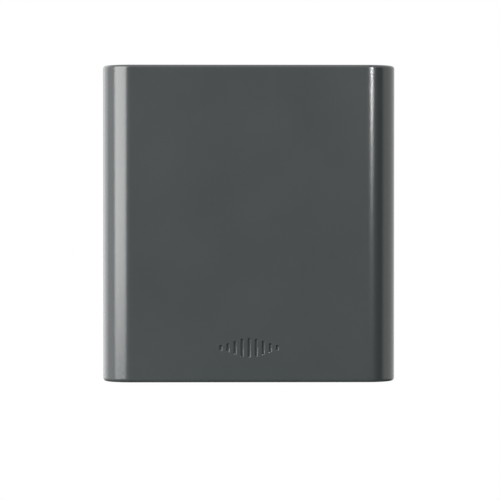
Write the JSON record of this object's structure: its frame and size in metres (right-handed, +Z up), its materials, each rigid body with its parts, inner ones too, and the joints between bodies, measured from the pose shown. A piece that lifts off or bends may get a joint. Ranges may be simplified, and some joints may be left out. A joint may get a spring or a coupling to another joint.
{
  "type": "outdoor wall light",
  "caption": "Compact outdoor wall light: a rounded box-section metal body with a glass window up and down, on a screwed wall bracket.",
  "frame": {"origin": "middle of the bracket's two slots, on the bracket's wall face", "axes": "+Z up the wall, +Y into the wall so that the lamp's front faces -Y, +X to the right seen from in front"},
  "size_m": [0.1, 0.038, 0.108],
  "materials": {
    "powder_coat": "anthracite fine-texture polyester powder coat, satin",
    "stainless_steel": "bare stainless sheet, lightly brushed",
    "stainless_screw": "turned and cold-headed stainless steel",
    "window_glass": "clear toughened glass",
    "silicone": "translucent grey silicone",
    "black_rubber": "matt black EPDM",
    "tray_plastic": "black glass-filled polymer, spark-eroded texture",
    "bare_aluminium": "mill-finish aluminium sheet",
    "reflector_metal": "vacuum-metallised moulding",
    "white_board": "white solder mask on an aluminium core board",
    "green_board": "green solder mask on glass-epoxy board",
    "diode": "white ceramic base with a phosphor die under a clear silicone dome",
    "thermal_pad": "grey-blue filled silicone sheet",
    "ferrite": "sintered ferrite",
    "capacitor_can": "bare aluminium can",
    "chip_plastic": "black moulded epoxy",
    "white_plastic": "natural white nylon",
    "wire_insulation": "red and black insulation",
    "plated_brass": "bright brass",
    "terminal_plastic": "grey polyamide"
  },
  "bodies": {
    "wall_side": {"wall_bracket": "stainless_steel", "cable_bushing": "black_rubber"},
    "lamp_head": {"outer_shell": "powder_coat", "core_plate": "bare_aluminium", "driver_standoffs": "plated_brass", "driver_board": "green_board", "driver_screws": "stainless_screw", "driver_inductor": "ferrite", "driver_capacitors": "capacitor_can", "driver_chips": "chip_plastic", "driver_plugs": "white_plastic", "supply_leads": "wire_insulation", "rear_tray": "tray_plastic", "wall_seal": "black_rubber", "lock_inserts": "plated_brass", "vent_plug": "black_rubber", "supply_terminal": "terminal_plastic", "terminal_seal": "silicone", "terminal_clamps": "plated_brass", "clamp_screws": "stainless_screw", "terminal_screws": "stainless_screw", "upper_cap": "powder_coat", "upper_cap_gasket": "black_rubber", "upper_glass": "window_glass", "upper_glass_seal": "silicone", "upper_cap_screws": "stainless_screw", "upper_reflector": "reflector_metal", "upper_led_board": "white_board", "upper_thermal_pad": "thermal_pad", "upper_leds": "diode", "upper_board_screws": "stainless_screw", "upper_led_leads": "wire_insulation", "lower_cap": "powder_coat", "lower_cap_gasket": "black_rubber", "lower_glass": "window_glass", "lower_glass_seal": "silicone", "lower_cap_screws": "stainless_screw", "lower_reflector": "reflector_metal", "lower_led_board": "white_board", "lower_thermal_pad": "thermal_pad", "lower_leds": "diode", "lower_board_screws": "stainless_screw", "lower_led_leads": "wire_insulation"},
    "lock_screw_left": {"lock_screw_left": "stainless_screw"},
    "lock_screw_right": {"lock_screw_right": "stainless_screw"}
  },
  "joints": [
    {"name": "lamp_lift_off", "type": "slide", "parent": "wall_side", "child": "lamp_head", "axis": [0, -1, 0], "range_m": [0, 0.03]},
    {"name": "lock_screw_left_travel", "type": "slide", "parent": "lamp_head", "child": "lock_screw_left", "axis": [0, 0, -1], "range_m": [0, 0.003]},
    {"name": "lock_screw_right_travel", "type": "slide", "parent": "lamp_head", "child": "lock_screw_right", "axis": [0, 0, -1], "range_m": [0, 0.003]}
  ]
}
